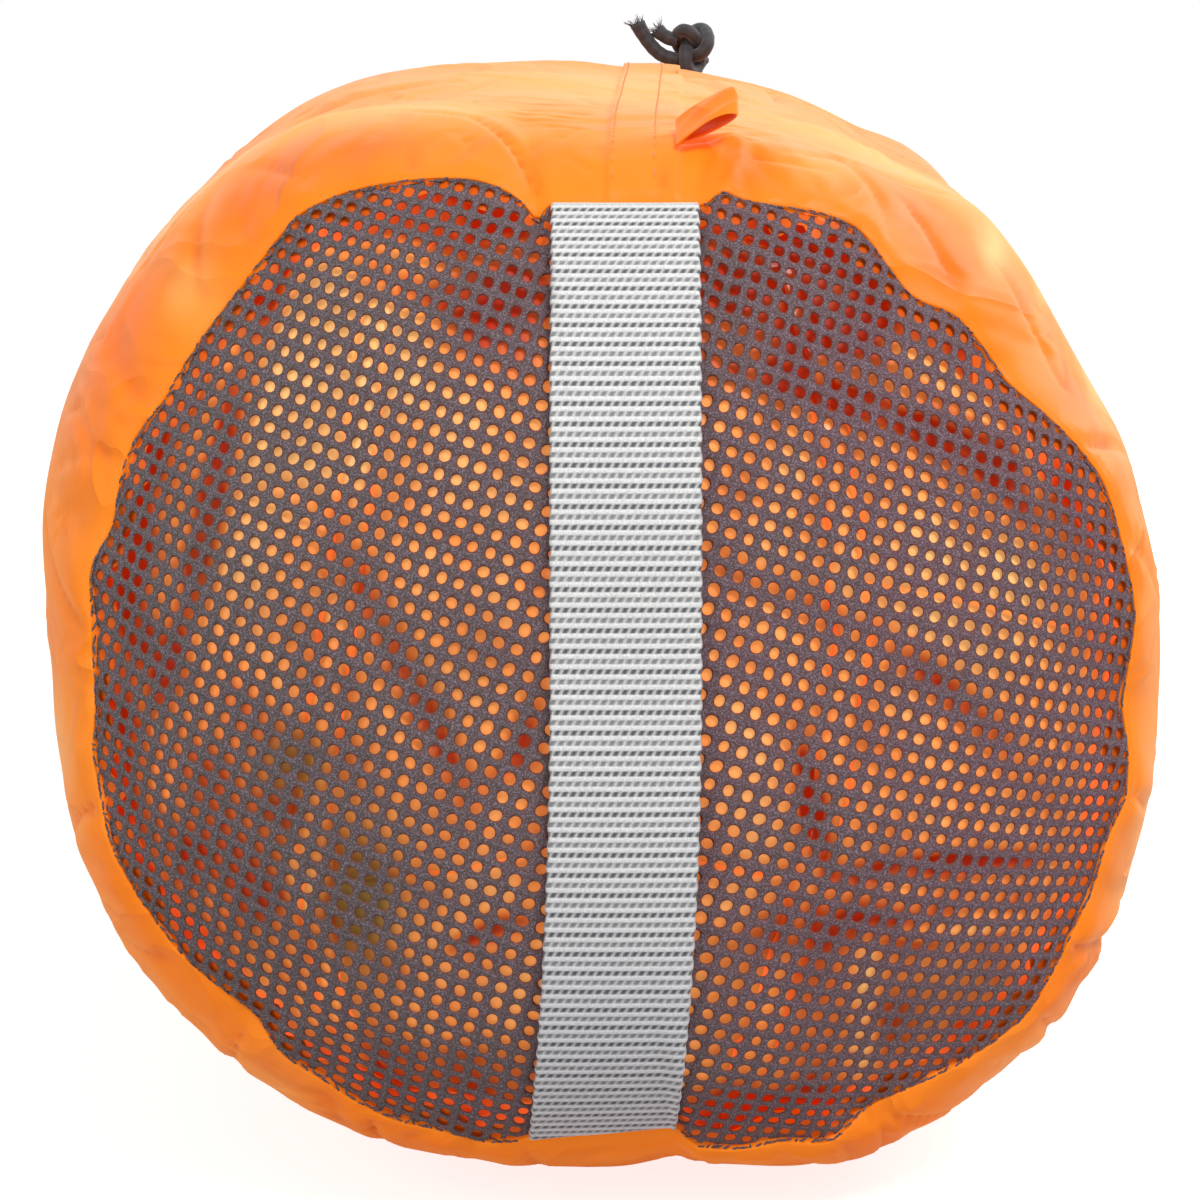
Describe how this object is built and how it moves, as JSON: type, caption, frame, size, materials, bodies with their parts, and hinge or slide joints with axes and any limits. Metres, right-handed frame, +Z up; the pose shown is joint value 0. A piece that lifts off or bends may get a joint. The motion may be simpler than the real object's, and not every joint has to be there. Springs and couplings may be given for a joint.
{
  "type": "packed group shelter in its stuff sack",
  "caption": "Group shelter packed in its stuff sack, with a mesh end, webbing grab handle, hang loop, drawcord mouth and a sliding cord lock with a sprung button.",
  "frame": {"origin": "bottom centre of the box round the sack, its handle and its cord tunnel, on the surface that the sack lies on; the cord's free tails and the cord lock on them are left out of that box", "axes": "+Z up; the sack lies along Y, its mesh end and handle facing -Y and its drawn mouth facing +Y; +X is to the right as seen from the mesh end"},
  "size_m": [0.1978, 0.3305, 0.1973],
  "materials": {
    "coated_nylon": "satin",
    "knitted_mesh": "matte",
    "grey_webbing": "satin",
    "loop_nylon": "satin",
    "black_cord": "matte",
    "lock_plastic": "satin",
    "spring_steel": "satin",
    "canopy_nylon": "satin",
    "seat_fabric": "matte",
    "window_film": "gloss"
  },
  "bodies": {
    "sack": {"sack_wall": "coated_nylon", "mesh_end": "knitted_mesh", "webbing_handle": "grey_webbing", "cord_channel": "coated_nylon", "drawcord": "black_cord", "drawcord_tail_left": "black_cord", "drawcord_tail_right": "black_cord", "drawcord_knot": "black_cord", "drawcord_end_left": "black_cord", "drawcord_end_right": "black_cord", "canopy_left_panel": "canopy_nylon", "canopy_right_panel": "canopy_nylon", "canopy_end_panel": "canopy_nylon", "canopy_roof_panel": "canopy_nylon", "vent_sleeve": "canopy_nylon", "seat_panel_left": "seat_fabric", "seat_panel_right": "seat_fabric", "window_left": "window_film", "window_right": "window_film"},
    "loop": {"hang_loop": "loop_nylon"},
    "lock": {"cord_lock_barrel": "lock_plastic", "cord_lock_spring": "spring_steel"},
    "button": {"cord_lock_button": "lock_plastic"}
  },
  "joints": [
    {"name": "loop_flap", "type": "hinge", "parent": "sack", "child": "loop", "pos_m": [0.01311, -0.11475, 0.18664], "axis": [0, 0.9028, 0.43], "range_deg": [-100, 25], "stiffness_Nm_per_rad": 0.0005},
    {"name": "cord_lock_slide", "type": "slide", "parent": "sack", "child": "lock", "axis": [0, -0.1392, 0.9903], "range_m": [0, 0.022]},
    {"name": "button_press", "type": "slide", "parent": "lock", "child": "button", "axis": [0, -0.9903, -0.1392], "range_m": [0, 0.0035], "stiffness_N_per_m": 400, "deforming": ["cord_lock_spring"]}
  ]
}
